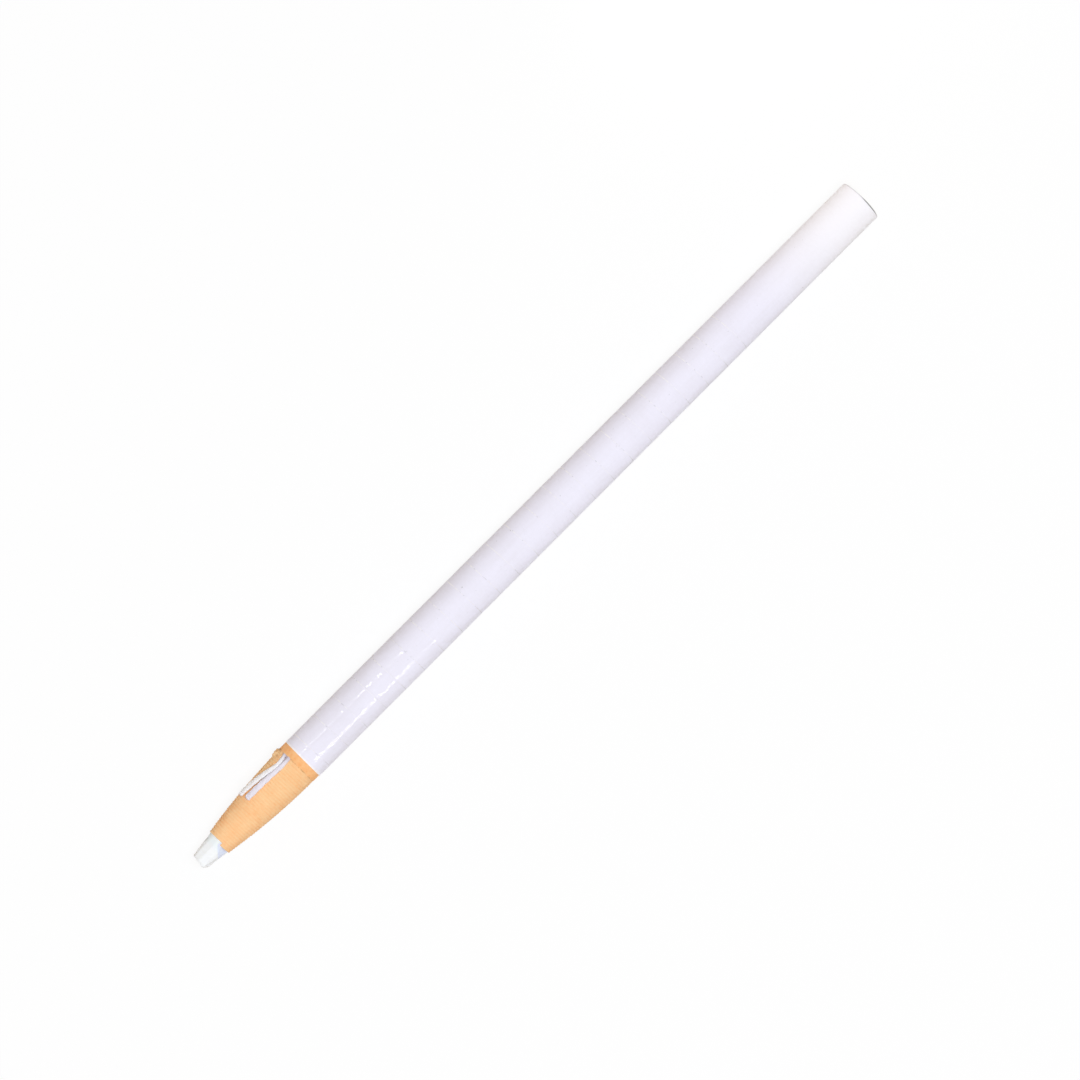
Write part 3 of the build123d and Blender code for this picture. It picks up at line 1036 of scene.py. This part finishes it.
WHITE = (1.0, 1.0, 1.0, 1.0)
# The floor's white as a surface that throws light back on the marker, and as it is seen.
FLOOR_WHITE = (0.8, 0.8, 0.8)
FLOOR_SEEN = (0.95, 0.95, 0.95)
# Half the floor's width in metres.
FLOOR_REACH = 3.0
# Lamps: place along the barrel, lean from upright towards +Y in degrees, distance from the axis, and the
# lamp's length and width.
LAMPS = {
    "key": (85.0, -7.5, 1200.0, 600.0, 440.0),
    "glint_near": (36.0, -49.0, 400.0, 54.0, 100.0),
    "glint_far": (32.0, 23.5, 400.0, 52.0, 40.0),
    "rear_fill": (185.0, 72.0, 65.0, 40.0, 40.0),
}
# Power of the far glint as a share of the near one's.
FAR_GLINT = 0.5


def floor_finish(stage):
    """White floor: mostly plain white where it is seen, a little darker where the marker shades it."""
    f = Finish("white_floor")
    seen = f.seen()
    plain = f.node("ShaderNodeBsdfDiffuse", None, {"Color": f.mix(seen, FLOOR_WHITE, FLOOR_SEEN)})
    glow = f.node("ShaderNodeEmission", None, {"Color": WHITE, "Strength": 1.0})
    shares = {0: seen * stage.floor_glow, 1: plain.outputs[0], 2: glow.outputs[0]}
    mixed = f.node("ShaderNodeMixShader", None, shares)
    f.node("ShaderNodeOutputMaterial", None, {"Surface": mixed.outputs[0]})
    return f.block


def make_sky(stage):
    """Soft light from all round, plain white where it is seen."""
    f = Finish("soft_sky", "worlds")
    soft = f.node("ShaderNodeBackground", None, {"Color": rgba(stage.sky_colour), "Strength": stage.sky})
    white = f.node("ShaderNodeBackground", None, {"Color": WHITE, "Strength": 1.0})
    mixed = f.node("ShaderNodeMixShader", None, {0: f.seen(), 1: soft.outputs[0], 2: white.outputs[0]})
    f.node("ShaderNodeOutputWorld", None, {"Surface": mixed.outputs[0]})
    return f.block


def make_floor(stage):
    """One wide square under the marker."""
    corners = [(x * FLOOR_REACH, y * FLOOR_REACH, 0) for x, y in ((-1, -1), (1, -1), (1, 1), (-1, 1))]
    mesh = bpy.data.meshes.new("floor")
    mesh.from_pydata(corners, [], [(0, 1, 2, 3)])
    mesh.materials.append(floor_finish(stage))
    floor = bpy.data.objects.new("floor", mesh)
    bpy.context.scene.collection.objects.link(floor)


def area_light(name, power, colour):
    """A soft light that stands off a place along the barrel and faces its axis."""
    from_tip, lean, distance, length, width = LAMPS[name]
    lamp = bpy.data.lights.new(name, "AREA")
    lamp.shape = "RECTANGLE"
    lamp.size, lamp.size_y = length * MM, width * MM
    lamp.energy = power
    lamp.color = colour[:3]
    holder = bpy.data.objects.new(name, lamp)
    outward = Vector((0.0, math.sin(math.radians(lean)), math.cos(math.radians(lean))))
    side = Vector((1.0, 0.0, 0.0))
    place = Vector((TIP_X + from_tip, 0.0, AXIS_Z)) + outward * distance
    turn = Matrix((side, outward.cross(side), outward)).transposed().to_4x4()
    holder.matrix_world = Matrix.Translation(place * MM) @ turn
    bpy.context.scene.collection.objects.link(holder)
    return holder


def make_camera(stage):
    """A long lens nearly straight above, turned so that the barrel runs along the frame's diagonal."""
    side = stage.aim_side / MM
    aim = Vector((TIP_X + stage.aim_along / MM, side, AXIS_Z))
    eye = Vector((TIP_X + stage.camera_over / MM, side, AXIS_Z + stage.camera_height / MM))
    ahead = (aim - eye).normalized()
    diagonal = math.radians(45.0) + stage.camera_roll
    right = ahead.cross(Vector((math.cos(diagonal), math.sin(diagonal), 0.0))).normalized()
    lens = bpy.data.cameras.new("camera")
    lens.lens = stage.lens
    lens.sensor_width = 36.0
    lens.clip_start, lens.clip_end = 0.01, 20.0
    camera = bpy.data.objects.new("camera", lens)
    turn = Matrix((right, right.cross(ahead), -ahead)).transposed().to_4x4()
    camera.matrix_world = Matrix.Translation(eye * MM) @ turn
    bpy.context.scene.collection.objects.link(camera)
    bpy.context.scene.camera = camera


class MARKER_OT_stage(bpy.types.Operator):
    """Set the floor, the lights and the camera"""

    bl_idname = "marker.stage"
    bl_label = "Stage"

    def execute(self, context):
        stage = context.scene.marker_stage
        context.scene.view_settings.view_transform = "Standard"
        context.scene.world = make_sky(stage)
        make_floor(stage)
        key = area_light("key", stage.key_power, stage.key_colour)
        key.visible_glossy = False
        near = area_light("glint_near", stage.glint_power, WHITE)
        far = area_light("glint_far", stage.glint_power * FAR_GLINT, WHITE)
        near.visible_diffuse = far.visible_diffuse = False
        rear = area_light("rear_fill", stage.rear_power, stage.rear_colour)
        rear.visible_glossy = rear.visible_camera = False
        make_camera(stage)
        return {"FINISHED"}


class MARKER_OT_core(bpy.types.Operator):
    """Make the wax core with its cut writing tip"""

    bl_idname = "marker.core"
    bl_label = "Wax core"

    def execute(self, context):
        make_core(context.scene.marker_colours)
        return {"FINISHED"}


class MARKER_OT_nose(bpy.types.Operator):
    """Make the tapered nose of wound paper"""

    bl_idname = "marker.nose"
    bl_label = "Paper nose"

    def execute(self, context):
        make_nose(context.scene.marker_sizes, context.scene.marker_colours)
        return {"FINISHED"}


class MARKER_OT_wrappers(bpy.types.Operator):
    """Make the white wrapper of the nose, the scored bands and the butt"""

    bl_idname = "marker.wrappers"
    bl_label = "White wrappers"

    def execute(self, context):
        sizes = context.scene.marker_sizes
        material = wrapper_finish(sizes, context.scene.marker_colours)
        half_cut = sizes.score_gap / MM / 2
        roll = sizes.score_roll / MM
        skew = sizes.score_skew
        ends = WRAPPER_START, FIRST_SCORE - half_cut
        make_wrapper("nose_wrapper", "nose", *ends, (0.0, skew), (roll, roll), NOSE_SEED, material)
        for i, number in enumerate(BANDS):
            node, body = f"band_wrapper_{number}", f"band_{number}"
            start = FIRST_SCORE + i * BAND_PITCH
            ends = start + half_cut, start + BAND_PITCH - half_cut
            make_wrapper(node, body, *ends, (skew, skew), (roll, roll), BAND_SEED + i, material)
        ends = LAST_SCORE + half_cut, LENGTH
        rolls = roll, RIM_PRESS * roll
        make_wrapper("butt_wrapper", "core", *ends, (skew, 0.0), rolls, BUTT_SEED, material)
        return {"FINISHED"}


class MARKER_OT_windings(bpy.types.Operator):
    """Give the wound paper under the wrapper its layered finish"""

    bl_idname = "marker.windings"
    bl_label = "Wound paper"

    def execute(self, context):
        layers = winding_finish(context.scene.marker_colours)
        for name, node in frame["nodes"].items():
            if name.startswith("peel_band_") or name == "butt_winding":
                node.data.materials.clear()
                node.data.materials.append(layers)
        return {"FINISHED"}


class MARKER_OT_string(bpy.types.Operator):
    """Make the pull string's free tails and hidden runs"""

    bl_idname = "marker.string"
    bl_label = "Pull string"

    def execute(self, context):
        sizes = context.scene.marker_sizes
        colours = context.scene.marker_colours
        for seed, name in enumerate(STRAND_ROUTES):
            # The near strand gets the shaded copy of the cotton: painted shade.
            material = string_finish(name, getattr(colours, f"{name}_string"), colours.string_shade)
            make_tail(name, sizes, material, HAIR_SEED + seed)
            make_run(name, sizes, material)
        return {"FINISHED"}


OPERATORS = (
    MARKER_OT_stage,
    MARKER_OT_core,
    MARKER_OT_nose,
    MARKER_OT_wrappers,
    MARKER_OT_windings,
    MARKER_OT_string,
)
GROUPS = {"marker_sizes": MarkerSizes, "marker_colours": MarkerColours, "marker_stage": MarkerStage}


class MARKER_PT_panel(bpy.types.Panel):
    """Lists the marker's settings and the operators that make it"""

    bl_label = "China marker"
    bl_idname = "MARKER_PT_panel"
    bl_space_type = "VIEW_3D"
    bl_region_type = "UI"
    bl_category = "Marker"

    def draw(self, context):
        for name, group in GROUPS.items():
            box = self.layout.box()
            for key in group.__annotations__:
                box.prop(getattr(context.scene, name), key)
        for operator in OPERATORS:
            self.layout.operator(operator.bl_idname)


CLASSES = (*GROUPS.values(), *OPERATORS, MARKER_PT_panel)


def register():
    for cls in CLASSES:
        bpy.utils.register_class(cls)
    for name, group in GROUPS.items():
        setattr(bpy.types.Scene, name, bpy.props.PointerProperty(type=group))


def unregister():
    for name in GROUPS:
        delattr(bpy.types.Scene, name)
    for cls in reversed(CLASSES):
        bpy.utils.unregister_class(cls)


def main():
    """Makes the marker and its stage."""
    register()
    for operator in OPERATORS:
        area, name = operator.bl_idname.split(".")
        getattr(getattr(bpy.ops, area), name)()


if __name__ == "__main__":
    main()
